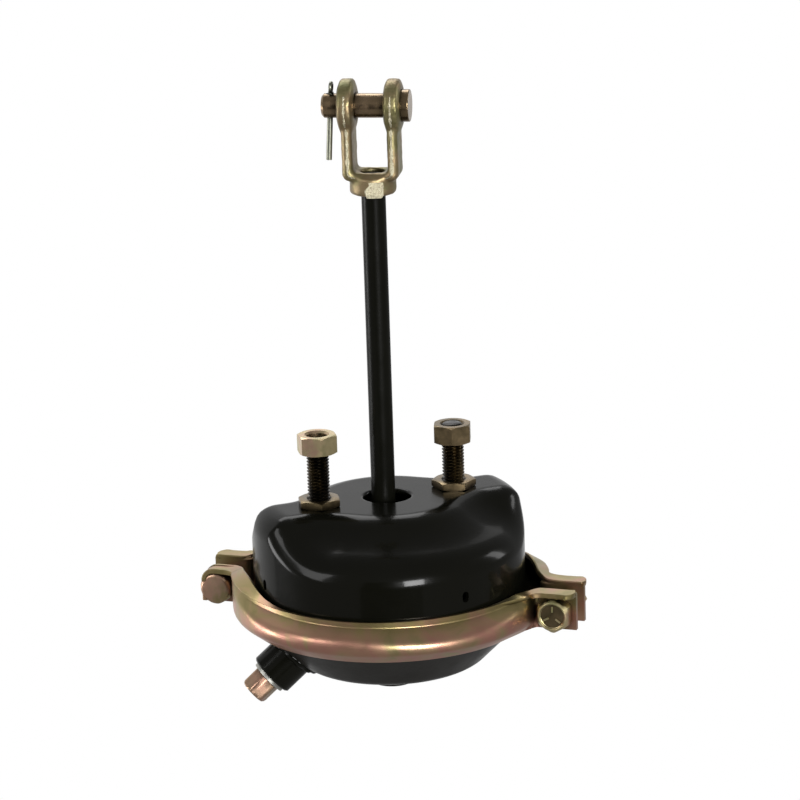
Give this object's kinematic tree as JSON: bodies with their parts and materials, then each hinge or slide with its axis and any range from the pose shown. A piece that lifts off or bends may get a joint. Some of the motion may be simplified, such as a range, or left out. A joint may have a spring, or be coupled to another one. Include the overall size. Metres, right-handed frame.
{
  "type": "air brake chamber",
  "caption": "Single-diaphragm air brake chamber with a push rod and clevis, clamped housings, mounting studs and air ports.",
  "frame": {"origin": "chamber axis in the plane of the base nuts' top faces, where the mounting bracket rests", "axes": "+Z along the push rod towards the clevis, +X along the line of the two mounting studs"},
  "size_m": [0.1802, 0.168, 0.3335],
  "materials": {
    "gloss_black": "gloss black paint",
    "satin_black": "satin black paint",
    "zinc_yellow": "yellow-passivated zinc plate",
    "forged_zinc": "yellow-passivated zinc on a rough forging",
    "washer_grey": "bright zinc",
    "rubber": "matte",
    "spring_steel": "phosphated spring steel"
  },
  "bodies": {
    "chamber": {"non_pressure_housing": "gloss_black", "pressure_housing": "satin_black", "side_port_boss": "satin_black", "inlet_boss": "satin_black", "port_plug": "zinc_yellow", "plug_washer": "washer_grey", "clamp_front": "zinc_yellow", "clamp_rear": "zinc_yellow", "clamp_bolt_left": "zinc_yellow", "clamp_bolt_right": "zinc_yellow", "clamp_nut_left": "zinc_yellow", "clamp_nut_right": "zinc_yellow", "stud_left": "zinc_yellow", "stud_right": "zinc_yellow", "base_nut_left": "gloss_black", "base_nut_right": "gloss_black", "stud_nut_left": "zinc_yellow", "stud_nut_right": "zinc_yellow", "return_spring": "spring_steel"},
    "diaphragm": {"diaphragm": "rubber"},
    "push_rod": {"push_rod": "satin_black", "push_plate": "satin_black"},
    "clevis": {"clevis": "forged_zinc"},
    "clevis_pin": {"clevis_pin": "zinc_yellow", "cotter_pin": "washer_grey"}
  },
  "joints": [
    {"name": "push_rod_stroke", "type": "slide", "parent": "chamber", "child": "diaphragm", "axis": [0, 0, 1], "range_m": [0, 0.057], "stiffness_N_per_m": 1500, "springref_m": -0.067, "deforming": ["return_spring", "diaphragm"]},
    {"name": "rod_tilt", "type": "hinge", "parent": "diaphragm", "child": "push_rod", "pos_m": [-0.002, 0, -0.0884], "axis": [0.8695, -0.4939, 0], "range_deg": [-3, 3], "stiffness_Nm_per_rad": 20},
    {"name": "clevis_turn", "type": "hinge", "parent": "push_rod", "child": "clevis", "pos_m": [-0.002, 0, 0.165], "axis": [0, 0, 1], "continuous": true},
    {"name": "clevis_pin_turn", "type": "hinge", "parent": "clevis", "child": "clevis_pin", "pos_m": [-0.002, 0, 0.206], "axis": [0.8695, -0.4939, 0], "continuous": true}
  ]
}
